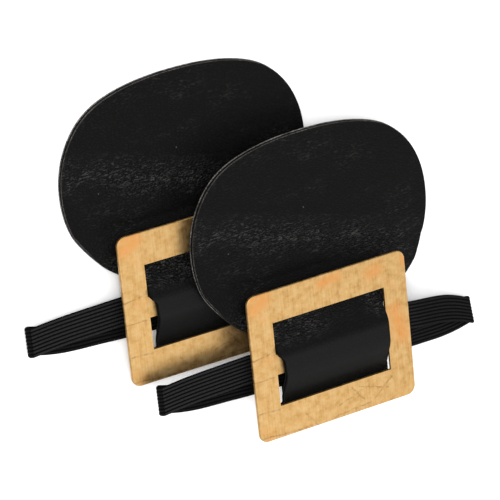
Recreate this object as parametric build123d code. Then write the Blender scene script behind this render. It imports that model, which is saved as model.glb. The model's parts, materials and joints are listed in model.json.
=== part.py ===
from build123d import *
import math
import os

# A pair of slip-on shoe-buckle covers lying on a table, the front one leaning on the rear one.
# Each cover is an oval padded leatherette flap that narrows to a strap. The strap passes
# behind the top bar of a three-bar buckle, over the centre bar, behind the bottom bar and
# back under itself, and an elastic loop for the shoe runs through the sleeve this makes.
#
# Millimetres. A cover is built in its own frame: +X to its right, +Y from buckle to flap,
# +Z out of its face, with the origin under the middle of the buckle at table height.

# Buckle: one flat stamped brass plate with three bars.
BUCKLE_WIDTH = 76.0
BUCKLE_HEIGHT = 65.6
SIDE_BAR = 11.1
CROSS_BAR = 14.1
CENTRE_BAR = 9.0
PLATE = 1.2
PLATE_FRONT_Z = 10.6
BUCKLE_CORNER_R = 4.0
BUCKLE_EDGE_BEVEL = 0.25
BAR_MIDDLE_Z = PLATE_FRONT_Z - PLATE / 2

# Padded leatherette: lining ply, fabric interlining and face ply, from the inside out.
LEATHER = 0.8
CORE = 1.1
PADDING = LEATHER + CORE + LEATHER
CORE_INSET = 0.7
LAYERS = {
    "lining_ply": (0.0, LEATHER, 0.0),
    "core": (LEATHER, LEATHER + CORE, CORE_INSET),
    "face_ply": (LEATHER + CORE, PADDING, 0.0),
}

# Flap outline, right half, from the strap round to the middle of the top.
STRAP_HALF = 24.7
STRAP_TOP_Y = 10.2
FLAP_CENTRE_Y = 50.0
FLAP_OUTLINE = [
    (33.0, 17.4),
    (43.6, 21.8),
    (51.2, 32.0),
    (55.9, 52.0),
    (52.9, 69.0),
    (41.3, 84.6),
    (26.0, 91.1),
    (0.0, 93.8),
]
FLEX_Y = 37.0  # the flap bends along this line, just above the buckle

# Side profile of the strap's inner face: (y, z) corners and the radii at the turns.
FOLD_Y = -23.5
FOLD_R = 1.5
FOLD_TOP_Z = PADDING + 2 * FOLD_R
ARCH_PROFILE = [
    (FLEX_Y, 0.0),
    (34.0, 0.0),
    (26.0, PADDING),
    (17.0, PADDING),
    (5.0, 11.1),
    (-5.0, 11.1),
    (-17.0, FOLD_TOP_Z),
    (FOLD_Y, FOLD_TOP_Z),
]
ARCH_RADII = [7.3, 8.0, 9.0, 6.0, 8.0, 12.0]
TAIL_END_Y = 24.0

# Tail seam: two rows of lockstitch through strap and tail, hidden behind the top bar.
TAIL_SEAM_ROWS = (20.6, 22.9)
STITCH_LENGTH = 2.6
STITCH_PITCH = 3.4
STITCH_WIDTH = 0.5
STITCH_HEIGHT = 0.25
TAIL_STITCHES = 13
GROOVE_WIDTH = 0.7
GROOVE_DEPTH = 0.3

# Elastic: a flat braided band sewn into a loop and lying flattened.
BAND_WIDTH = 12.7
BAND = 1.1
BACK_LAYER_Z = 3.45  # middle of the back layer inside the sleeve
SLEEVE_STEP = 1.4  # from layer to layer inside the sleeve
FOLD_STEP = 2.7  # from layer to layer at the folded ends
SLEEVE_X = 27.0
BUCKLE_EDGE_X = 39.0
LEFT_FOLD_X = -76.7
RIGHT_FOLD_X = 79.4
LEFT_FOLD_Y = -3.4
RIGHT_FOLD_Y = -14.5
FRONT_LAYER_Y = (-1.2, 0.0)  # at the buckle's left and right edges
BACK_LAYER_Y = (-7.1, -9.2)
EDGE_SAG = 0.5
FOLD_CLEARANCE = 0.2
FOLD_STEPS = 6
LAP_X = (45.0, 57.0)  # where one end of the band is sewn under the other
LAP_ROWS = 4
LAP_STITCHES = 5

# How the two covers lie: the front one leans on the right edge of the rear one's strap, where
# it humps over the centre bar, and on the right end of its own elastic.
FRONT_OFFSET_X = 47.6
FRONT_OFFSET_Y = -35.2
REST_CLEARANCE = 0.3
REAR_RIGHT_DROP = 0.0
FRONT_RIGHT_DROP = 12.2


def flap_outline(inset):
    """The flap's plan shape with the strap below it, drawn in by inset."""
    points = [(STRAP_HALF - inset, STRAP_TOP_Y)]
    for x, y in FLAP_OUTLINE:
        keep = 1 - inset / math.hypot(x, y - FLAP_CENTRE_Y)
        points.append((x * keep, FLAP_CENTRE_Y + (y - FLAP_CENTRE_Y) * keep))
    right = Spline(points, tangents=[(0.25, 1), (-1, 0)], tangent_scalars=(0.5, 1))
    left = mirror(right, about=Plane.YZ)
    half = STRAP_HALF - inset
    low = FOLD_Y - 2 * PADDING
    strap = Polyline((half, STRAP_TOP_Y), (half, low), (-half, low), (-half, STRAP_TOP_Y))
    return make_face([right, left, strap])


def ribbon(path, low, high, half_width):
    """What lies between two offsets of a side profile, drawn across the strap."""
    near = path.offset_2d(low, side=Side.RIGHT, closed=False) if low else path
    far = path.offset_2d(high, side=Side.RIGHT, closed=False)
    first, last = sorted([near @ 0, near @ 1], key=lambda p: (p.X, p.Y))
    start, end = sorted([far @ 0, far @ 1], key=lambda p: (p.X, p.Y))
    section = make_face([near, far, Line(first, start), Line(last, end)])
    return extrude(Plane.YZ * section, amount=half_width, both=True)


def strap_layer(low, high, inset):
    """One layer from the flex line over the bar, round the fold and back to the tail seam."""
    arch = Wire([*FilletPolyline(*ARCH_PROFILE, radius=ARCH_RADII).edges()])
    shoulders = ribbon(arch, low, high, BUCKLE_WIDTH)
    shoulders &= extrude(flap_outline(inset), amount=4 * PLATE_FRONT_Z)
    fold = ThreePointArc(
        (FOLD_Y, FOLD_TOP_Z),
        (FOLD_Y - FOLD_R, FOLD_TOP_Z - FOLD_R),
        (FOLD_Y, PADDING),
    )
    tail = Wire([fold, Line((FOLD_Y, PADDING), (TAIL_END_Y - inset, PADDING))])
    return shoulders + ribbon(tail, low, high, STRAP_HALF - inset)


def flap_layer(low, high, inset):
    """One flat layer of the flap beyond the flex line."""
    layer = extrude(Pos(0, 0, low) * flap_outline(inset), amount=high - low)
    return layer - Pos(0, FLEX_Y, 0) * Box(
        4 * BUCKLE_WIDTH, 4 * BUCKLE_WIDTH, PLATE_FRONT_Z, align=(Align.CENTER, Align.MAX, Align.CENTER)
    )


def stitch(length, width, height, low):
    align = (Align.CENTER, Align.CENTER, Align.MIN)
    return Pos(0, 0, low) * Box(length, width, height, align=align)


def tail_groove(row_y):
    return Pos(0, row_y, GROOVE_DEPTH / 2) * Box(
        2 * STRAP_HALF - 2, GROOVE_WIDTH, GROOVE_DEPTH
    )


def tail_seam_thread():
    """The seam's visible loops, on top of the strap and sunk into the tail's underside."""
    stitches = []
    for row_y in TAIL_SEAM_ROWS:
        for i in range(TAIL_STITCHES):
            x = (i - (TAIL_STITCHES - 1) / 2) * STITCH_PITCH
            for low in (2 * PADDING, GROOVE_DEPTH - STITCH_HEIGHT):
                thread = stitch(STITCH_LENGTH, STITCH_WIDTH, STITCH_HEIGHT, low)
                stitches += (Pos(x, row_y, 0) * thread).solids()
    return Compound(stitches)


def buckle():
    """Stamped plate with square inner corners, a centre bar and a bevelled front rim."""
    plate = RectangleRounded(BUCKLE_WIDTH, BUCKLE_HEIGHT, BUCKLE_CORNER_R)
    plate -= Rectangle(BUCKLE_WIDTH - 2 * SIDE_BAR, BUCKLE_HEIGHT - 2 * CROSS_BAR)
    plate += Rectangle(BUCKLE_WIDTH - 2 * SIDE_BAR, CENTRE_BAR)
    plate = extrude(Pos(0, 0, PLATE_FRONT_Z - PLATE) * plate, amount=PLATE)
    rim = plate.faces().sort_by(Axis.Z)[-1].outer_wire().edges()
    return chamfer(rim, BUCKLE_EDGE_BEVEL)


def band_section(centre, normal):
    """The band's cross-section at one point of its path, with its width along Y."""
    x, y, z = centre
    nx, nz = normal
    corners = []
    for across, out in ((-1, -1), (1, -1), (1, 1), (-1, 1)):
        corners.append((
            x + out * nx * BAND / 2,
            y + across * BAND_WIDTH / 2,
            z + out * nz * BAND / 2,
        ))
    return Wire.make_polygon(corners, close=True)


def band_run(path):
    """A stretch of band through points, with square ends across the path's first and last runs."""
    wires = []
    for i, centre in enumerate(path):
        before = path[max(i - 1, 0)]
        after = path[min(i + 1, len(path) - 1)]
        dx, dz = after[0] - before[0], after[2] - before[2]
        size = math.hypot(dx, dz)
        wires.append(band_section(centre, (-dz / size, dx / size)))
    return Solid.make_loft(wires, ruled=True)


def quarter_fold(x, y, mid_z, side, upper):
    """Points round one quarter of a folded end, from its layer to its tip."""
    radius = FOLD_STEP / 2
    points = []
    for i in range(1, FOLD_STEPS + 1):
        turn = math.pi / 2 * i / FOLD_STEPS
        height = radius * math.cos(turn) * (1 if upper else -1)
        points.append((x + side * radius * math.sin(turn), y, mid_z + height))
    return points


def elastic_layer(upper, right_drop):
    """Half of the loop, tip to tip: the front layer if upper, or the back layer."""
    step = SLEEVE_STEP if upper else 0.0
    edge_y = FRONT_LAYER_Y if upper else BACK_LAYER_Y
    mid_z = FOLD_CLEARANCE + BAND / 2 + FOLD_STEP / 2
    level = mid_z + FOLD_STEP / 2 * (1 if upper else -1)
    path = quarter_fold(LEFT_FOLD_X, LEFT_FOLD_Y, mid_z, -1, upper)[::-1]
    path += [
        (LEFT_FOLD_X, LEFT_FOLD_Y, level),
        (-BUCKLE_EDGE_X, edge_y[0], BACK_LAYER_Z + step - EDGE_SAG),
        (-SLEEVE_X, edge_y[0], BACK_LAYER_Z + step),
        (SLEEVE_X, edge_y[1], BACK_LAYER_Z + step),
        (BUCKLE_EDGE_X, edge_y[1], BACK_LAYER_Z + step - EDGE_SAG),
        (RIGHT_FOLD_X, RIGHT_FOLD_Y, level - right_drop),
    ]
    path += quarter_fold(RIGHT_FOLD_X, RIGHT_FOLD_Y, mid_z - right_drop, 1, upper)
    return band_run(path)


def lap_line(right_drop):
    """Start and end of the lapped end, just under the back layer's right arm."""
    z0 = BACK_LAYER_Z - EDGE_SAG
    z1 = FOLD_CLEARANCE + BAND / 2 - right_drop
    y0, y1 = BACK_LAYER_Y[1], RIGHT_FOLD_Y
    points = []
    for x in LAP_X:
        share = (x - BUCKLE_EDGE_X) / (RIGHT_FOLD_X - BUCKLE_EDGE_X)
        points.append((x, y0 + share * (y1 - y0), z0 + share * (z1 - z0) - BAND))
    return points


def elastic_band(right_drop):
    """The flattened loop with its lapped end."""
    loop = elastic_layer(True, right_drop) + elastic_layer(False, right_drop)
    return loop + band_run(lap_line(right_drop))


def elastic_seam_thread(right_drop):
    """Rows of stitches across the lapped end, on its underside."""
    start, end = lap_line(right_drop)
    pitch = (BAND_WIDTH - 1.5) / LAP_STITCHES
    stitches = []
    for row in range(LAP_ROWS):
        share = (row + 1) / (LAP_ROWS + 1)
        x, y, z = (a + share * (b - a) for a, b in zip(start, end))
        slope = math.degrees(math.atan2(start[2] - end[2], end[0] - start[0]))
        for i in range(LAP_STITCHES):
            along = (i - (LAP_STITCHES - 1) / 2) * pitch
            thread = stitch(STITCH_WIDTH, 0.8 * pitch, STITCH_HEIGHT, -BAND / 2 - STITCH_HEIGHT)
            stitches += (Pos(x, y + along, z) * Rot(0, slope, 0) * thread).solids()
    return Compound(stitches)


def cover(right_drop):
    """Every piece of one cover in its own frame, by name."""
    pieces = {}
    for name, (low, high, inset) in LAYERS.items():
        pieces["flap_" + name] = flap_layer(low, high, inset)
        pieces["strap_" + name] = strap_layer(low, high, inset)
    for row_y in TAIL_SEAM_ROWS:
        pieces["strap_face_ply"] -= tail_groove(row_y)
    pieces["tail_seam_thread"] = tail_seam_thread()
    pieces["buckle"] = buckle()
    pieces["elastic_band"] = elastic_band(right_drop)
    pieces["elastic_seam_thread"] = elastic_seam_thread(right_drop)
    return pieces


def pivots(place):
    """Middles of the flap's bend line and of the bar that the buckle rocks on."""
    return {
        "flap_bend": (place * Pos(0, FLEX_Y, PADDING)).position,
        "buckle_rock": (place * Pos(0, 0, BAR_MIDDLE_Z)).position,
    }


def front_lean(strap_crest_z):
    """The front cover's height at its origin and its lean in degrees, right side down."""
    edge_x = STRAP_HALF - FRONT_OFFSET_X
    held_at = strap_crest_z + REST_CLEARANCE
    slope = (held_at - FRONT_RIGHT_DROP) / (RIGHT_FOLD_X - edge_x)
    return held_at + edge_x * slope, math.degrees(math.asin(slope))


def build():
    """All pieces where they lie, with the origin at the middle of the pair's footprint."""
    rear = cover(REAR_RIGHT_DROP)
    height, lean = front_lean(rear["strap_face_ply"].bounding_box().max.Z)
    covers = {
        "rear": (Location(), rear),
        "front": (
            Pos(FRONT_OFFSET_X, FRONT_OFFSET_Y, height) * Rot(0, lean, 0),
            cover(FRONT_RIGHT_DROP),
        ),
    }
    parts = {}
    for side, (place, pieces) in covers.items():
        for name, piece in pieces.items():
            parts[f"{side}_{name}"] = place * piece
    box = Compound([solid for piece in parts.values() for solid in piece.solids()]).bounding_box()
    middle = Pos(-box.center().X, -box.center().Y, -box.min.Z)
    parts = {name: middle * piece for name, piece in parts.items()}
    places = {side: middle * place for side, (place, _) in covers.items()}
    return parts, places


PARTS, PLACES = build()
os.makedirs("parts", exist_ok=True)
for node, shape in PARTS.items():
    shape.label = node
    export_step(shape, f"parts/{node}.step")
for side, place in PLACES.items():
    print(side, "cover at", place.position, "turned", place.orientation)
    for joint, position in pivots(place).items():
        print(side, joint, "at", position)
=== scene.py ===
import json
import math

import bpy
import numpy as np
from mathutils import Matrix, Vector, noise


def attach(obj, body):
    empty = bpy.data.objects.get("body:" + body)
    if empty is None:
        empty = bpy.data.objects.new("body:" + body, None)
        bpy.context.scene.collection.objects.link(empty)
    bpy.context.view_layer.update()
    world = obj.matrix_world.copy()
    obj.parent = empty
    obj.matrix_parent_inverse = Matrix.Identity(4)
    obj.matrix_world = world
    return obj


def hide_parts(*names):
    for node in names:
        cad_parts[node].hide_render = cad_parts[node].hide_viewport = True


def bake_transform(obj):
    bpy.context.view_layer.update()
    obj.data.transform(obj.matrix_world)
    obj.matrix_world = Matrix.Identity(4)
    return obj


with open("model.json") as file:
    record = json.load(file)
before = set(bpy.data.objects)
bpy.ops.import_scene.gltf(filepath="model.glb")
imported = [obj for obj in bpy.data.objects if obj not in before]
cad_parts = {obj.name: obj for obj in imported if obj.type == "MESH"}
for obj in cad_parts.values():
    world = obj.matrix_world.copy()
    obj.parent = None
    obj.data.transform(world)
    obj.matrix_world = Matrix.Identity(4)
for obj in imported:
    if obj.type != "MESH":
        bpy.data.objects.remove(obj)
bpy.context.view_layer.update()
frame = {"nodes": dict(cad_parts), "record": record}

# Lengths below are millimetres in a cover's own frame: +X to its right, +Y from the buckle to
# the flap, +Z out of its face, origin under the middle of the buckle at table height.
MM = 0.001
SIDES = ("rear", "front")
JOINTS = {joint["name"]: joint for joint in frame["record"]["behaviour"]["joints"]}

LEATHER = 0.8
CORE = 1.1
PADDING = LEATHER + CORE + LEATHER
LAYERS = {  # lowest and highest depth, and how far the edge is drawn in
    "lining_ply": (0.0, LEATHER, 0.0),
    "core": (LEATHER, LEATHER + CORE, 0.45),
    "face_ply": (LEATHER + CORE, PADDING, 0.12),
}
EDGE_BEVEL = 0.2
STRAP_HALF = 24.7
STRAP_TOP_Y = 11.0
FLAP_OUTLINE = [
    (31.0, 13.4),
    (37.0, 15.8),
    (43.6, 21.8),
    (51.2, 32.0),
    (55.9, 52.0),
    (52.9, 69.0),
    (41.3, 84.6),
    (26.0, 91.1),
    (0.0, 93.8),
]
FLEX_Y = 37.0
FOLD_Y = -23.5
FOLD_R = 1.5
FOLD_TOP_Z = PADDING + 2 * FOLD_R
TAIL_END_Y = 24.0
ARCH_PROFILE = [
    (FLAP_OUTLINE[-1][1], 0.0),
    (34.0, 0.0),
    (26.0, PADDING),
    (17.0, PADDING),
    (5.0, 11.1),
    (-5.0, 11.1),
    (-17.0, FOLD_TOP_Z),
    (FOLD_Y, FOLD_TOP_Z),
]
ARCH_RADII = [7.3, 8.0, 9.0, 6.0, 8.0, 12.0]
BAR_MIDDLE_Z = 10.0
OUTLINE_STEP = 1.4
ROW_STEP = 1.3
HALF_COLUMNS = 30

# How the strap differs from a straight, centred one of even thickness.
STRETCH_TOP_Y = 16.0
PRESSED_BY = 0.26
PRESS_EASE_TOP = 5.0
PRESS_EASE_FOLD = 6.0
SHIFT_EASE = 4.0
RIGHT_SHIFT = 2.05
SHOULDER_SHIFT = 1.4
SHOULDER_Y = 11.3
SHOULDER_REACH = 1.1
LOW_RIGHT_SHIFT = 0.5
LEFT_SHIFT = 1.1
BAR_WAIST = 0.5
UPPER_WAIST = 2.6
TAIL_WAIST = 3.6
TAIL_LEFT_SHIFT = 0.9
TAIL_RIGHT_SHIFT = 1.2

# The padding's gentle waves.
PUCKER = 0.28
PUCKER_START_Y = 14.0
PUCKER_EASE = 25.0
PUCKER_WAVE = (34.0, 26.0)
PUCKER_SEED = 3.1

BAND_WIDTH = 12.7
BAND = 1.1
BACK_LAYER_Z = 3.45
SLEEVE_STEP = 1.4
FOLD_STEP = 2.7
SLEEVE_X = 27.0
BUCKLE_EDGE_X = 39.0
LEFT_FOLD = (-76.7, -3.4)
RIGHT_FOLD = (79.4, -14.5)
FRONT_LAYER_Y = (-1.2, 0.0)
BACK_LAYER_Y = (-7.1, -9.2)
EDGE_SAG = 0.5
FOLD_CLEARANCE = 0.2
RIGHT_DROP = {"rear": 0.0, "front": 12.2}
LAP_X = (45.0, 57.0)
RIBS = 8  # even, as the fabric's material counts them from the band's middle
RIB_POINTS = 8
BAND_STEP = 1.0
SOFTEN_REACH = 4
FOLD_STEPS = 10
BAND_EDGE = 0.16
UPPER_BOWS = (0.4, 1.7)  # left and right arm
LOWER_BOWS = (-1.3, -1.2)
FOLD_TWIST = 0.9
FOLD_SLANT = 0.12
SLANT_START_X = 62.0


# ---------------------------------------------------------------- camera, lights and floor

# Places here are in metres, in the part's frame.
CAMERA_AT = Vector((-0.6224, 0.5595, 1.2334))
CAMERA_FORWARD = Vector((0.4178, -0.3788, -0.8258))
CAMERA_UP = Vector((0.2627, 0.9205, -0.2893))
LENS_MM = 260.7
SENSOR_MM = 36.0
LIGHTS = {  # place, width and power in watts
    "softbox": ((0.35, -0.75, 1.15), 0.8, 5.0),
    "top_light": ((-0.35, 0.75, 1.2), 1.2, 4.0),
    "fill_light": ((-0.55, 0.5, 1.1), 0.4, 9.0),
}
WORLD_STRENGTH = 1.1
FLOOR_SIZE = 6.0
FLOOR_WHITE = 0.96


def make_camera():
    """A long lens, looking steeply down from beyond the flaps and to their left."""
    data = bpy.data.cameras.new("camera")
    data.lens = LENS_MM
    data.sensor_width = SENSOR_MM
    data.clip_end = 20.0
    camera = bpy.data.objects.new("camera", data)
    back = -CAMERA_FORWARD.normalized()
    right = CAMERA_UP.cross(back).normalized()
    up = back.cross(right)
    turn = Matrix((right, up, back)).transposed()
    camera.matrix_world = Matrix.Translation(CAMERA_AT) @ turn.to_4x4()
    bpy.context.collection.objects.link(camera)
    bpy.context.scene.camera = camera


def area_light(name, at, size, power):
    """A square light that faces the part."""
    data = bpy.data.lights.new(name, "AREA")
    data.energy = power
    data.size = size
    light = bpy.data.objects.new(name, data)
    light.location = at
    light.rotation_euler = (-Vector(at)).to_track_quat("-Z", "Y").to_euler()
    bpy.context.collection.objects.link(light)


def make_stage():
    """A pale floor under soft light from all round and three area lights."""
    scene = bpy.context.scene
    scene.view_settings.view_transform = "Standard"
    world = bpy.data.worlds.new("studio")
    world.use_nodes = True
    background = world.node_tree.nodes["Background"]
    background.inputs["Color"].default_value = (1, 1, 1, 1)
    background.inputs["Strength"].default_value = WORLD_STRENGTH
    scene.world = world
    bpy.ops.mesh.primitive_plane_add(size=FLOOR_SIZE, location=(0, 0, 0))
    floor = bpy.context.object
    floor.name = "floor"
    material = bpy.data.materials.new("floor")
    material.use_nodes = True
    shader = material.node_tree.nodes["Principled BSDF"]
    shader.inputs["Base Color"].default_value = (FLOOR_WHITE, FLOOR_WHITE, FLOOR_WHITE, 1)
    shader.inputs["Roughness"].default_value = 0.9
    shader.inputs["Specular IOR Level"].default_value = 0.1
    floor.data.materials.append(material)
    for name, (at, size, power) in LIGHTS.items():
        area_light(name, at, size, power)


# ---------------------------------------------------------------- shared helpers


def cover_frame(side):
    """Takes a cover's millimetres to the row frame's metres, from its buckle's pivot."""
    joint = JOINTS[f"{side}_buckle_rock"]
    x = -Vector(joint["axis"]).normalized()
    y = Vector((0, 1, 0))
    z = x.cross(y).normalized()
    turn = Matrix((x, y, z)).transposed()
    origin = Vector(joint["pos_m"]) - z * BAR_MIDDLE_Z * MM
    return Matrix.Translation(origin) @ turn.to_4x4() @ Matrix.Scale(MM, 4)


def mesh_object(name, points, faces, place, flat, wall_faces=()):
    """A smooth-shaded mesh placed in the row frame, with its flat coordinates as an attribute."""
    mesh = bpy.data.meshes.new(name)
    mesh.from_pydata([place @ Vector(p) for p in points], [], faces)
    mesh.polygons.foreach_set("use_smooth", [True] * len(faces))
    walls = set(wall_faces)
    mesh.polygons.foreach_set("material_index", [int(i in walls) for i in range(len(faces))])
    sheet = mesh.attributes.new("sheet", "FLOAT_VECTOR", "POINT")
    sheet.data.foreach_set("vector", np.array(flat, np.float32).ravel() * MM)
    mesh.validate()
    mesh.update()
    obj = bpy.data.objects.new(name, mesh)
    bpy.context.collection.objects.link(obj)
    return obj


def unit(value):
    """The value kept between 0 and 1."""
    return min(1.0, max(0.0, value))


def ease(value, low, high):
    """0 below low, 1 above high and a smooth step between them."""
    share = unit((value - low) / (high - low))
    return share * share * (3 - 2 * share)


def resample(points, step):
    """Adds points on the long runs of a path, none further apart than step."""
    out = [points[0]]
    for a, b in zip(points, points[1:]):
        steps = max(1, math.ceil((b - a).length / step))
        out += [a.lerp(b, k / steps) for k in range(1, steps + 1)]
    return out


def tube_faces(rows, around, closed=False):
    """Quads between loops of `around` points, back to the first loop if the tube is closed."""
    faces = []
    for r in range(rows if closed else rows - 1):
        for c in range(around):
            a = r * around + c
            b = r * around + (c + 1) % around
            up = ((r + 1) % rows) * around
            faces.append((a, b, up + (c + 1) % around, up + c))
    return faces


# ---------------------------------------------------------------- leatherette layers


def smooth_curve(knots, step):
    """Points about step apart on a natural cubic spline through knots, by chord length."""
    knots = np.array(knots, float)
    spans = np.linalg.norm(np.diff(knots, axis=0), axis=1)
    count = len(knots)
    system = np.eye(count)
    right = np.zeros_like(knots)
    for i in range(1, count - 1):
        before, after = spans[i - 1], spans[i]
        system[i, i - 1:i + 2] = before, 2 * (before + after), after
        right[i] = 6 * ((knots[i + 1] - knots[i]) / after - (knots[i] - knots[i - 1]) / before)
    # the last knot is the middle of a symmetric shape, so the curve is level there
    system[-1, -2:] = spans[-1], 2 * spans[-1]
    level = np.array([-1.0, 0.0])
    right[-1] = 6 * (level - (knots[-1] - knots[-2]) / spans[-1])
    bend = np.linalg.solve(system, right)
    points = []
    for i, span in enumerate(spans):
        steps = max(1, round(span / step))
        for k in range(steps):
            b = k / steps
            a = 1 - b
            points.append(a * knots[i] + b * knots[i + 1]
                          + ((a**3 - a) * bend[i] + (b**3 - b) * bend[i + 1]) * span**2 / 6)
    points.append(knots[-1])
    return np.array(points)


def rounded_path(corners, radii, step):
    """Points on straight runs joined by tangent arcs."""
    corners = [Vector(c) for c in corners]
    points = [corners[0]]
    for i, radius in enumerate(radii, start=1):
        corner = corners[i]
        back = (corners[i - 1] - corner).normalized()
        ahead = (corners[i + 1] - corner).normalized()
        turn = math.pi - back.angle(ahead)
        reach = radius * math.tan(turn / 2)
        centre = corner + (back + ahead).normalized() * radius / math.cos(turn / 2)
        start = corner + back * reach - centre
        end = corner + ahead * reach - centre
        steps = max(2, math.ceil(radius * turn / step))
        for k in range(steps + 1):
            share = k / steps
            points.append(centre + (start * math.sin((1 - share) * turn)
                                    + end * math.sin(share * turn)) / math.sin(turn))
    points.append(corners[-1])
    return points


def fold_and_tail():
    """Points (y, z) round the strap's fold and up to the tail's end, along its inner face."""
    centre = Vector((FOLD_Y, FOLD_TOP_Z - FOLD_R))
    points = []
    steps = 16
    for k in range(1, steps + 1):
        angle = math.pi / 2 + math.pi * k / steps
        points.append(centre + FOLD_R * Vector((math.cos(angle), math.sin(angle))))
    points.append(Vector((TAIL_END_Y, PADDING)))
    return points


OUTLINE = smooth_curve([(STRAP_HALF, STRAP_TOP_Y), *FLAP_OUTLINE], OUTLINE_STEP)[:-1]
FLAP_TOP_Y = FLAP_OUTLINE[-1][1]
SIDES_END_Y = FLEX_Y + 10.0  # above this the rows follow the outline's own points
COLUMNS = [math.sin(math.pi / 2 * c / HALF_COLUMNS)
           for c in range(-HALF_COLUMNS, HALF_COLUMNS + 1)]


def inset_outline(inset):
    """The flap's right edge from the strap to the top, drawn in by inset."""
    ahead = np.gradient(OUTLINE, axis=0)
    normals = np.stack([ahead[:, 1], -ahead[:, 0]], axis=1)
    normals /= np.linalg.norm(normals, axis=1)[:, None]
    return OUTLINE - normals * inset


def sheet_rows(inset):
    """Rows from the flap's top to the tail: half width, (y, z) of the inner face, on front."""
    outline = inset_outline(inset)
    rows = []
    for x, y in outline[::-1]:
        if y > SIDES_END_Y:
            rows.append((x, Vector((y, 0.0)), True))
    for point in resample(rounded_path(ARCH_PROFILE, ARCH_RADII, ROW_STEP), ROW_STEP):
        y = point.x
        if y > SIDES_END_Y - OUTLINE_STEP / 2:
            continue
        half = STRAP_HALF - inset
        if y > STRAP_TOP_Y:
            half = float(np.interp(y, outline[:, 1], outline[:, 0]))
        rows.append((half, point, True))
    tail = fold_and_tail()
    tail[-1] = tail[-1] - Vector((inset, 0))
    for point in resample([rows[-1][1], *tail], ROW_STEP)[1:]:
        rows.append((STRAP_HALF - inset, point, False))
    return rows


def squeeze(y, on_front):
    """The share of its thickness that the padding keeps where it is drawn over the centre bar."""
    if not on_front or y > STRETCH_TOP_Y:
        return 1.0
    pull = min(1.0, (STRETCH_TOP_Y - y) / PRESS_EASE_TOP, (y - FOLD_Y) / PRESS_EASE_FOLD)
    return 1.0 - PRESSED_BY * pull


def edge_shift(y, on_right, on_front):
    """How far right of its straight place one edge of the strap or its tail lies."""
    if on_front and on_right:
        beside_shoulder = max(0.0, 1.0 - abs(y - SHOULDER_Y) / SHOULDER_REACH)
        low_down = ease(-y, 14.5, 16.5)
        return RIGHT_SHIFT + SHOULDER_SHIFT * beside_shoulder + LOW_RIGHT_SHIFT * low_down
    if on_front:
        return LEFT_SHIFT - BAR_WAIST * ease(y, -8.0, 0.0) - UPPER_WAIST * ease(y, 1.0, 5.0)
    if on_right:
        return TAIL_RIGHT_SHIFT
    beside_window = ease(y, FOLD_Y - 1.5, FOLD_Y + 2.0) * ease(-y, -12.0, -6.0)
    return TAIL_LEFT_SHIFT + TAIL_WAIST * beside_window


def strap_side(x, y, on_front):
    """Where a point across the strap lies, as the strap is neither centred nor quite straight."""
    share = unit((STRETCH_TOP_Y - y) / SHIFT_EASE) * abs(x) / STRAP_HALF
    return x + share * edge_shift(y, x > 0, on_front)


def pucker(x, y):
    """How far the padding stands proud of its flat shape, in gentle waves."""
    spread = unit((y - PUCKER_START_Y) / PUCKER_EASE)
    wave = noise.noise(Vector((x / PUCKER_WAVE[0], y / PUCKER_WAVE[1], PUCKER_SEED))) + 1
    return PUCKER * spread * wave


def layer_mesh(low, high, inset):
    """Points, flat coordinates, faces and wall faces of one layer with softened edges."""
    bevel = min(EDGE_BEVEL, (high - low) / 3)
    rows = sheet_rows(inset + bevel)
    walls = sheet_rows(inset)
    run = 0.0
    grids = {low: [], high: []}
    rings = {low: [], high: []}
    points, flat = [], []

    def add(x, depth, middle, normal, on_front):
        place = middle + normal * depth * squeeze(middle.x, on_front)
        lift = pucker(x, middle.x) if on_front else 0.0
        x = strap_side(x, middle.x, on_front)
        points.append((x, place.x, place.y + lift))
        flat.append((x, FLAP_TOP_Y - run, depth))
        return len(points) - 1

    for r, (half, middle, on_front) in enumerate(rows):
        before = rows[max(r - 1, 0)][1]
        after = rows[min(r + 1, len(rows) - 1)][1]
        heading = (after - before).normalized()
        normal = Vector((heading.y, -heading.x))
        if r:
            run += (middle - rows[r - 1][1]).length
        for depth in (low, high):
            grids[depth].append([add(share * half, depth, middle, normal, on_front)
                                 for share in COLUMNS])
        wall_half, wall_middle, _ = walls[r]
        shares = COLUMNS if r in (0, len(rows) - 1) else (-1, 1)
        for depth, near in ((low, low + bevel), (high, high - bevel)):
            rings[depth].append([add(share * wall_half, near, wall_middle, normal, on_front)
                                 for share in shares])

    faces = []
    for depth, flip in ((high, False), (low, True)):
        grid = grids[depth]
        for r in range(len(grid) - 1):
            for c in range(len(COLUMNS) - 1):
                quad = (grid[r][c], grid[r][c + 1], grid[r + 1][c + 1], grid[r + 1][c])
                faces.append(quad if flip else quad[::-1])
    surface_count = len(faces)

    def border(table):
        """The indices round a grid's border, from its bottom right corner up and round."""
        right = [row[-1] for row in table]
        left = [row[0] for row in table]
        return right[::-1] + table[0][-2:0:-1] + left + table[-1][1:-1]

    loops = [border(grids[high]), border(rings[high]), border(rings[low]), border(grids[low])]
    count = len(loops[0])
    for outer, inner in zip(loops, loops[1:]):
        for i in range(count):
            j = (i + 1) % count
            faces.append((outer[i], outer[j], inner[j], inner[i]))
    return points, flat, faces, range(surface_count, len(faces))


def make_leather(side, materials):
    """A cover's layers, each of flap and strap in one piece."""
    place = cover_frame(side)
    for name, (low, high, inset) in LAYERS.items():
        points, flat, faces, walls = layer_mesh(low, high, inset)
        obj = mesh_object(f"{side}_{name}_sheet", points, faces, place, flat, walls)
        for material in materials[name]:
            obj.data.materials.append(material)
        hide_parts(f"{side}_flap_{name}", f"{side}_strap_{name}")
        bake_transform(obj)


# ---------------------------------------------------------------- elastic


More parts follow.
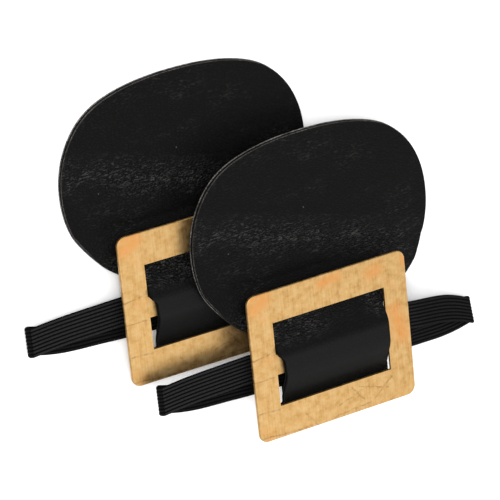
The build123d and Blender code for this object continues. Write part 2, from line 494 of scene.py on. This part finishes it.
def band_line(side, upper):
    """Corner points of one layer of the loop, from its left fold to its right one."""
    step = SLEEVE_STEP if upper else 0.0
    edge_y = FRONT_LAYER_Y if upper else BACK_LAYER_Y
    fold_z = FOLD_CLEARANCE + BAND / 2 + (FOLD_STEP if upper else 0.0)
    return [
        Vector((*LEFT_FOLD, fold_z)),
        Vector((-BUCKLE_EDGE_X, edge_y[0], BACK_LAYER_Z + step - EDGE_SAG)),
        Vector((-SLEEVE_X, edge_y[0], BACK_LAYER_Z + step)),
        Vector((SLEEVE_X, edge_y[1], BACK_LAYER_Z + step)),
        Vector((BUCKLE_EDGE_X, edge_y[1], BACK_LAYER_Z + step - EDGE_SAG)),
        Vector((*RIGHT_FOLD, fold_z - RIGHT_DROP[side])),
    ]


def bowed(points, upper):
    """The same path with its arms bowed along Y, as the band doesn't lie quite straight."""
    out = []
    for p in points:
        fold_x = RIGHT_FOLD[0] if p.x > 0 else -LEFT_FOLD[0]
        share = unit((abs(p.x) - BUCKLE_EDGE_X) / (fold_x - BUCKLE_EDGE_X))
        bow = (UPPER_BOWS if upper else LOWER_BOWS)[int(p.x > 0)]
        bow *= math.sin(math.pi * share ** 1.5)
        if upper and p.x > 0:
            bow += FOLD_TWIST * share
        out.append(p + Vector((0, bow, 0)))
    return out


def fold_line(side, right):
    """Points round a folded end: on the right from upper layer to lower, on the left back up."""
    x, y = RIGHT_FOLD if right else LEFT_FOLD
    drop = RIGHT_DROP[side] if right else 0.0
    centre = Vector((x, y, FOLD_CLEARANCE + BAND / 2 + FOLD_STEP / 2 - drop))
    points = []
    for k in range(1, FOLD_STEPS):
        share = k / FOLD_STEPS
        angle = math.pi * ((0.5 if right else -0.5) - share)
        twist = FOLD_TWIST * (1 - share) if right else 0.0
        points.append(centre + FOLD_STEP / 2 * Vector((math.cos(angle), 0, math.sin(angle)))
                      + Vector((0, twist, 0)))
    return points


def soften(points, reach):
    """Rounds a dense path's corners by averaging neighbours, leaving its ends as they are."""
    out = []
    for i in range(len(points)):
        near = min(reach, i, len(points) - 1 - i)
        window = points[i - near:i + near + 1]
        out.append(sum(window, Vector((0, 0, 0))) / len(window))
    return out


def rib_profile(share):
    """Half the band's thickness at a share of its width: cords side by side, thin at its edges."""
    if share in (0, 1):
        return BAND * BAND_EDGE
    cord = abs(math.sin(math.pi * RIBS * share))
    return BAND / 2 * (0.5 + 0.5 * cord ** 0.6)


def band_tube(path, closed):
    """Loops of points round the ribbed band along a path, with its width along Y."""
    across = RIBS * RIB_POINTS
    points, flat = [], []
    run = 0.0
    for i, centre in enumerate(path):
        before = path[i - 1] if closed or i else centre
        after = path[(i + 1) % len(path)] if closed or i + 1 < len(path) else centre
        heading = after - before
        normal = Vector((-heading.z, 0, heading.x)).normalized()
        if i:
            run += (centre - path[i - 1]).length
        for out in (1, -1):
            for k in range(across + 1)[::out]:
                share = k / across
                half = rib_profile(share)
                y = (share - 0.5) * BAND_WIDTH
                slant = -FOLD_SLANT * y * ease(centre.x, SLANT_START_X, RIGHT_FOLD[0])
                points.append(centre + Vector((slant, y, 0)) + normal * out * half)
                flat.append((run, y, out))
    return points, flat


def layer_path(side, upper):
    """One layer's whole path, rounded and bowed."""
    path = soften(resample(band_line(side, upper), BAND_STEP), SOFTEN_REACH)
    return bowed(path, upper)


def lap_path(side):
    """The lapped end under the lower layer's right arm."""
    corners = band_line(side, False)
    start, end = corners[-2], corners[-1]
    below = Vector((0, 0, BAND))
    points = []
    for x in LAP_X:
        share = (x - start.x) / (end.x - start.x)
        points.append(start.lerp(end, share) - below)
    return bowed(resample(points, BAND_STEP), False)


def make_elastic(side, material):
    """The flattened loop and its lapped end, in one mesh."""
    place = cover_frame(side)
    upper = layer_path(side, True)
    lower = layer_path(side, False)
    loop = upper + fold_line(side, True) + lower[::-1] + fold_line(side, False)
    points, flat = band_tube(loop, closed=True)
    around = len(points) // len(loop)
    faces = tube_faces(len(loop), around, closed=True)
    lap = lap_path(side)
    lap_points, lap_flat = band_tube(lap, closed=False)
    first = len(points)
    faces += [tuple(first + i for i in face) for face in tube_faces(len(lap), around)]
    faces.append(tuple(first + i for i in range(around))[::-1])
    faces.append(tuple(first + (len(lap) - 1) * around + i for i in range(around)))
    points += lap_points
    flat += lap_flat
    obj = mesh_object(f"{side}_elastic_loop", points, [f[::-1] for f in faces], place, flat)
    obj.data.materials.append(material)
    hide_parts(f"{side}_elastic_band")
    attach(obj, f"{side}_elastic")


# ---------------------------------------------------------------- materials

LEATHERETTE = (0.0036, 0.0035, 0.0034)
# painted highlight: the pale grey of the glint specks on the grain
GLINT_SPECK_GREY = (0.048, 0.046, 0.044, 1)
DUST = (0.09, 0.085, 0.08, 1)
PEBBLE_STRETCH = (0.62, 1, 1)

# The flap's crease, in the sheet's millimetres.
CREASE_Y = 47.5
CREASE_SLOPE = 0.29

# Metres, as are the sizes that Nodes.noise and Nodes.bump take.
PEBBLE = 0.0011
GRAIN_DEPTH = 0.0005
FRAY_STARTS = (0.018, 0.03)  # up the sheet
# painted shade: past this run the crests' lighter colour dims, darkening the right arm and the lower
# layer
CREST_SHADE_RUN = (0.09, 0.13)  # along the loop from its left fold
PICK = 0.0012

# painted highlight: the cords' crests are coloured lighter than their hollows
CORD_HOLLOW = (0.0012, 0.0012, 0.0013)
CREST_PAINTED_HIGHLIGHT = (0.014, 0.014, 0.0145)

BRASS = (0.415, 0.257, 0.099)
BRASS_DEEP = (0.30, 0.172, 0.058)
BRASS_PALE = (0.485, 0.325, 0.15)
BRASS_ORANGE = (0.50, 0.20, 0.053)
BRASS_SCRATCH = (0.13, 0.05, 0.015)

# Marks on the plates, in a cover's millimetres: (from, to, width), and (from, to) for scratches.
SCRATCH_WIDTH = 0.5
BLOTCHES = [
    ((-3, 29), (5, 30), 3.4),
    ((21, 27), (24, 27.5), 4.4),
    ((31, 7), (34, -5), 5.5),
    ((-35, 27), (-30, 30), 5.0),
    ((36.5, 30), (37.5, 26), 1.6),
    ((-36, 31.5), (-28, 32.5), 1.5),
]
SCRATCHES = [
    ((-38, 5.5), (-27, 7.0)),
    ((-37, -4.2), (-27, -3.8)),
    ((-36, -18.2), (-26.5, -18.8)),
    ((-37, -29.5), (-12, -30.8)),
    ((-14, -24.5), (-9, -31.5)),
    ((8, -19.5), (14, -27.0)),
    ((12, -20.5), (26, -25.0)),
    ((2, -26.0), (13, -22.5)),
    ((19, -28.0), (28, -20.5)),
    ((-1, -30.5), (17, -29.0)),
]


class Nodes:
    """A material's node tree with short ways to add and join nodes."""

    def __init__(self, name):
        self.material = bpy.data.materials.new(name)
        self.material.use_nodes = True
        self.tree = self.material.node_tree
        self.shader = self.tree.nodes["Principled BSDF"]

    def add(self, kind, inputs=None, **settings):
        node = self.tree.nodes.new("ShaderNode" + kind)
        for key, value in settings.items():
            setattr(node, key, value)
        for key, value in (inputs or {}).items():
            self.join(value, node.inputs[key])
        return node

    def join(self, value, socket):
        if isinstance(value, bpy.types.NodeSocket):
            self.tree.links.new(value, socket)
        elif isinstance(value, bpy.types.Node):
            self.tree.links.new(value.outputs[0], socket)
        else:
            socket.default_value = value

    def set(self, **inputs):
        for key, value in inputs.items():
            self.join(value, self.shader.inputs[key.replace("_", " ")])

    def sheet(self):
        """Flat coordinates in metres: across, along (a layer's top is at its flap's Y) and depth."""
        return self.add("Attribute", attribute_name="sheet").outputs["Vector"]

    def sum(self, a, b):
        node = self.add("VectorMath", operation="ADD")
        self.join(a, node.inputs[0])
        self.join(b, node.inputs[1])
        return node.outputs[0]

    def math(self, operation, a, b=0.0, c=0.0):
        node = self.add("Math", operation=operation)
        for i, value in enumerate((a, b, c)):
            self.join(value, node.inputs[i])
        return node.outputs[0]

    def scale(self, vector, factors):
        node = self.add("VectorMath", operation="MULTIPLY")
        self.join(vector, node.inputs[0])
        node.inputs[1].default_value = factors
        return node.outputs[0]

    def noise(self, vector, size, detail=2.0, rough=0.5, distortion=0.0):
        """Noise with features about `size` metres across."""
        node = self.add("TexNoise", {"Vector": vector, "Scale": 1 / size, "Detail": detail,
                                     "Roughness": rough, "Distortion": distortion})
        return node.outputs["Fac"]

    def ramp(self, value, stops):
        node = self.add("ValToRGB")
        self.join(value, node.inputs["Fac"])
        elements = node.color_ramp.elements
        while len(elements) < len(stops):
            elements.new(0.5)
        for element, (at, colour) in zip(elements, stops):
            element.position = at
            element.color = (*colour, 1)
        return node.outputs["Color"]

    def fade(self, value, low, high, from_=0.0, to=1.0):
        node = self.add("MapRange", {"Value": value, "From Min": low, "From Max": high,
                                     "To Min": from_, "To Max": to}, clamp=True)
        return node.outputs["Result"]

    def mix(self, factor, a, b):
        node = self.add("Mix", data_type="RGBA")
        self.join(factor, node.inputs["Factor"])
        self.join(a, node.inputs[6])
        self.join(b, node.inputs[7])
        return node.outputs[2]

    def bump(self, height, distance, strength):
        inputs = {"Height": height, "Distance": distance, "Strength": strength}
        return self.add("Bump", inputs).outputs["Normal"]


def wear(n, at, x, y):
    """Where leatherette is worn by bending or stretched over the bar; x and y in millimetres."""
    cloud = n.noise(at, 0.018, 3.0, 0.55)
    slanted = n.math("MULTIPLY_ADD", x, CREASE_SLOPE, y)
    off_crease = n.math("ABSOLUTE", n.math("SUBTRACT", slanted, CREASE_Y))
    crease = n.fade(off_crease, 2.0, 11.0, 1.0, 0.0)
    shoulder = n.math("MULTIPLY", n.fade(y, 3.0, 8.0), n.fade(y, 19.0, 26.0, 1.0, 0.0))
    side_ways = n.math("MAXIMUM", n.fade(x, -6.0, 2.0, 1.0, 0.15), n.fade(x, 16.0, 21.0))
    worn = n.math("MAXIMUM", crease, n.math("MULTIPLY", shoulder, side_ways))
    worn = n.math("MULTIPLY", worn, n.fade(cloud, 0.35, 0.65, 0.25, 1.0))
    stretched = n.math("MULTIPLY", n.fade(y, 0.0, 6.0, 1.0, 0.0), n.fade(y, -22.0, -16.0))
    return worn, stretched


def painted_glint_specks(n, at, warped, y, worn):
    """Pale specks that stand in for glints on the grain, a painted highlight: in patches where the
    surface is worn, and faintly higher up the sheet.
    """
    specks = n.noise(n.scale(warped, (0.28, 1, 1)), 0.0005, 1.0, 0.5)
    patches = n.fade(n.noise(n.scale(at, (0.5, 1, 1)), 0.005, 2.0), 0.3, 0.55)
    # painted highlight: fainter glint specks scattered higher up the sheet
    glint_scatter = n.fade(n.noise(n.scale(at, (0.5, 1, 1)), 0.014, 3.0, 0.6), 0.5, 0.66, 0.0, 0.3)
    glint_scatter = n.math("MULTIPLY", glint_scatter, n.fade(y, 20.0, 30.0))
    glint_patches = n.math("MULTIPLY", n.math("MAXIMUM", worn, glint_scatter), patches)
    return n.math("MULTIPLY", glint_patches, n.fade(specks, 0.55, 0.68))


def leatherette(name):
    """Black embossed leatherette: pebble grain, worn shiny where the flap and strap bend."""
    n = Nodes(name)
    at = n.sheet()
    place = n.add("SeparateXYZ", {"Vector": n.scale(at, (1 / MM, 1 / MM, 1 / MM))}).outputs
    x, y = place["X"], place["Y"]
    worn, stretched = wear(n, at, x, y)
    warp = n.add("CombineXYZ", {"X": n.noise(at, 0.003, 2.0), "Y": n.noise(at, 0.0024, 2.0)})
    warped = n.sum(at, n.scale(warp.outputs[0], (0.0015, 0.0015, 0)))
    cells = n.add("TexVoronoi", {"Vector": n.scale(warped, PEBBLE_STRETCH), "Scale": 1 / PEBBLE,
                                 "Randomness": 0.9}, feature="DISTANCE_TO_EDGE")
    pebbles = n.fade(cells.outputs["Distance"], 0.0, 0.3)
    fine = n.noise(at, 0.0006, 3.0, 0.6)
    grain = n.math("MULTIPLY_ADD", fine, 0.3, pebbles)
    depth = n.math("MULTIPLY", n.fade(worn, 0.0, 1.0, 0.35, 1.0),
                   n.fade(stretched, 0.0, 1.0, 1.0, 0.25))
    motes = n.add("TexVoronoi", {"Vector": at, "Scale": 1 / 0.011}, feature="F1")
    mote = n.fade(motes.outputs["Distance"], 0.018, 0.03, 1.0, 0.0)
    valley = tuple(c * 0.5 for c in LEATHERETTE)
    colour = n.mix(pebbles, (*valley, 1), (*LEATHERETTE, 1))
    # painted highlight: pale glint specks mixed into the colour
    colour = n.mix(painted_glint_specks(n, at, warped, y, worn), colour, GLINT_SPECK_GREY)
    colour = n.mix(mote, colour, DUST)
    n.set(Base_Color=colour, Roughness=n.fade(worn, 0.0, 1.0, 0.45, 0.3))
    shine = n.math("MAXIMUM", n.fade(worn, 0.0, 1.0, 0.045, 0.09),
                   n.math("MULTIPLY", stretched, 0.075))
    n.set(Specular_IOR_Level=shine)
    n.set(Normal=n.bump(grain, GRAIN_DEPTH, depth))
    return n.material


def cut_edge(name, dark, light):
    """A ply's cut edge, where fibres show in patches on the flap but not on the strap."""
    n = Nodes(name)
    at = n.sheet()
    fuzz = n.noise(at, 0.0006, 5.0, 0.7)
    y = n.add("SeparateXYZ", {"Vector": at}).outputs["Y"]
    patches = n.fade(n.noise(at, 0.006, 3.0), 0.35, 0.6, 0.3, 1.0)
    frayed = n.math("MULTIPLY", n.fade(y, *FRAY_STARTS), patches)
    shown = n.math("MULTIPLY", frayed, n.fade(fuzz, 0.35, 0.7))
    n.set(Base_Color=n.mix(shown, (*dark, 1), (*light, 1)))
    n.set(Roughness=0.85, Specular_IOR_Level=0.1)
    n.set(Normal=n.bump(fuzz, 0.0003, 0.8))
    return n.material


def elastic_fabric():
    """Black braided elastic: cords along it, with the weave across them as fine bump; the cords'
    crests are coloured lighter as a painted highlight, dimmed by painted shade along the loop.
    """
    n = Nodes("black_elastic")
    at = n.sheet()
    place = n.add("SeparateXYZ", {"Vector": at}).outputs
    phase = n.math("MULTIPLY", place["Y"], math.pi * RIBS / (BAND_WIDTH * MM))
    cord = n.math("ABSOLUTE", n.math("SINE", phase))
    weave = n.add("TexWave", {"Vector": at, "Scale": 1 / PICK / 2, "Distortion": 2.0,
                              "Detail": 2.0, "Detail Scale": 3.0}, bands_direction="X")
    fuzz = n.noise(n.scale(at, (0.5, 1, 1)), 0.0005, 4.0, 0.65)
    height = n.math("MULTIPLY_ADD", weave.outputs["Fac"], 0.5, fuzz)
    # painted highlight: where the lighter crest colour goes
    crest_highlight = n.math("MULTIPLY", n.fade(cord, 0.35, 1.0), n.fade(fuzz, 0.3, 0.75, 0.35, 1.0))
    # painted shade: the crests darken along the loop from its left arm to its right
    crest_highlight = n.math("MULTIPLY", crest_highlight, n.fade(place["X"], *CREST_SHADE_RUN, 1.0, 0.35))
    n.set(Base_Color=n.ramp(crest_highlight, [(0.0, CORD_HOLLOW), (1.0, CREST_PAINTED_HIGHLIGHT)]))
    n.set(Roughness=0.6, Specular_IOR_Level=n.fade(crest_highlight, 0.0, 1.0, 0.01, 0.16))
    n.set(Normal=n.bump(height, 0.00025, 0.7))
    return n.material


def thread_material():
    """Black sewing thread with a little sheen."""
    n = Nodes("black_thread")
    at = n.add("TexCoord").outputs["Object"]
    n.set(Base_Color=(0.01, 0.01, 0.01, 1), Roughness=0.6, Sheen_Weight=0.3)
    n.set(Normal=n.bump(n.noise(at, 0.0004, 3.0), 0.0001, 0.6))
    return n.material


def plate_coordinates(n, side, plate):
    """A plate's own coordinates, fixed to it, in its cover's frame and in metres."""
    place = plate.matrix_world.inverted() @ cover_frame(side)
    mapping = n.add("Mapping", {"Vector": n.add("TexCoord").outputs["Object"]},
                    vector_type="TEXTURE")
    mapping.inputs["Location"].default_value = place.translation
    mapping.inputs["Rotation"].default_value = place.to_euler()
    return mapping.outputs["Vector"]


def near_line(n, at, start, end, width):
    """1 on a straight line between two points in millimetres, fading to 0 at width."""
    a = Vector((*start, 0)) * MM
    along = Vector((*end, 0)) * MM - a
    offset = n.add("VectorMath", operation="SUBTRACT")
    n.join(at, offset.inputs[0])
    offset.inputs[1].default_value = a
    share = n.add("VectorMath", operation="DOT_PRODUCT")
    n.join(offset, share.inputs[0])
    share.inputs[1].default_value = along / along.length_squared
    clamped = n.add("Clamp", {"Value": share.outputs["Value"]})
    foot = n.add("VectorMath", operation="SCALE")
    foot.inputs[0].default_value = along
    n.join(clamped, foot.inputs["Scale"])
    away = n.add("VectorMath", operation="DISTANCE")
    n.join(offset, away.inputs[0])
    n.join(foot, away.inputs[1])
    return n.fade(away.outputs["Value"], 0.0, width * MM, 1.0, 0.0)


def brass(side, plate):
    """Satin brass sheet: brushed, blotched, with thin brown scratches."""
    n = Nodes(f"{side}_brass")
    at = n.scale(plate_coordinates(n, side, plate), (1, 1, 0))
    brushed = n.noise(n.scale(at, (1.0, 0.05, 1.0)), 0.0007, 3.0, 0.6)
    mottle = n.noise(at, 0.0035, 4.0, 0.65)
    cloud = n.noise(at, 0.013, 3.0, 0.5, 0.4)
    tint = n.ramp(n.math("MULTIPLY_ADD", brushed, 0.3, n.math("MULTIPLY", mottle, 0.7)),
                  [(0.36, BRASS_DEEP), (0.5, BRASS), (0.64, BRASS_PALE)])
    blotches = 0.0
    for start, end, width in BLOTCHES:
        blotches = n.math("MAXIMUM", blotches, near_line(n, at, start, end, width))
    blotches = n.math("MAXIMUM", blotches, n.fade(cloud, 0.6, 0.75, 0.0, 0.5))
    orange = n.mix(n.math("MULTIPLY", blotches, 0.6), tint, (*BRASS_ORANGE, 1))
    wander = n.add("CombineXYZ", {"X": n.noise(at, 0.006, 5.0, 0.65),
                                  "Y": n.noise(at, 0.005, 5.0, 0.65)})
    wobbly = n.sum(at, n.scale(wander.outputs[0], (0.0024, 0.0024, 0)))
    scratches = 0.0
    for start, end in SCRATCHES:
        line = near_line(n, wobbly, start, end, SCRATCH_WIDTH)
        scratches = n.math("MAXIMUM", scratches, line)
    patchy = n.fade(n.noise(at, 0.002, 3.0), 0.35, 0.6, 0.15, 1.0)
    marked = n.math("MULTIPLY", n.math("MULTIPLY", scratches, patchy), 0.6)
    n.set(Base_Color=n.mix(marked, orange, (*BRASS_SCRATCH, 1)), Metallic=1.0)
    n.set(Roughness=n.fade(mottle, 0.3, 0.7, 0.42, 0.55))
    n.set(Normal=n.bump(brushed, 0.00003, 0.5))
    return n.material


# ---------------------------------------------------------------- assembly

make_camera()
make_stage()
face = leatherette("leatherette_face")
lining = leatherette("leatherette_lining")
face_edge = cut_edge("leatherette_cut_edge", (0.003, 0.003, 0.003), (0.12, 0.113, 0.107))
lining_edge = cut_edge("lining_cut_edge", (0.004, 0.004, 0.004), (0.28, 0.262, 0.245))
felt = cut_edge("interlining_felt", (0.0015, 0.0015, 0.0015), (0.010, 0.0095, 0.009))
LEATHER_MATERIALS = {
    "face_ply": (face, face_edge),
    "core": (felt, felt),
    "lining_ply": (lining, lining_edge),
}
elastic = elastic_fabric()
thread = thread_material()
for cover_side in SIDES:
    make_leather(cover_side, LEATHER_MATERIALS)
    make_elastic(cover_side, elastic)
    plate = frame["nodes"][f"{cover_side}_buckle"]
    plate.data.materials.clear()
    plate.data.materials.append(brass(cover_side, plate))
    for seam in ("tail_seam_thread", "elastic_seam_thread"):
        stitches = frame["nodes"][f"{cover_side}_{seam}"]
        stitches.data.materials.clear()
        stitches.data.materials.append(thread)
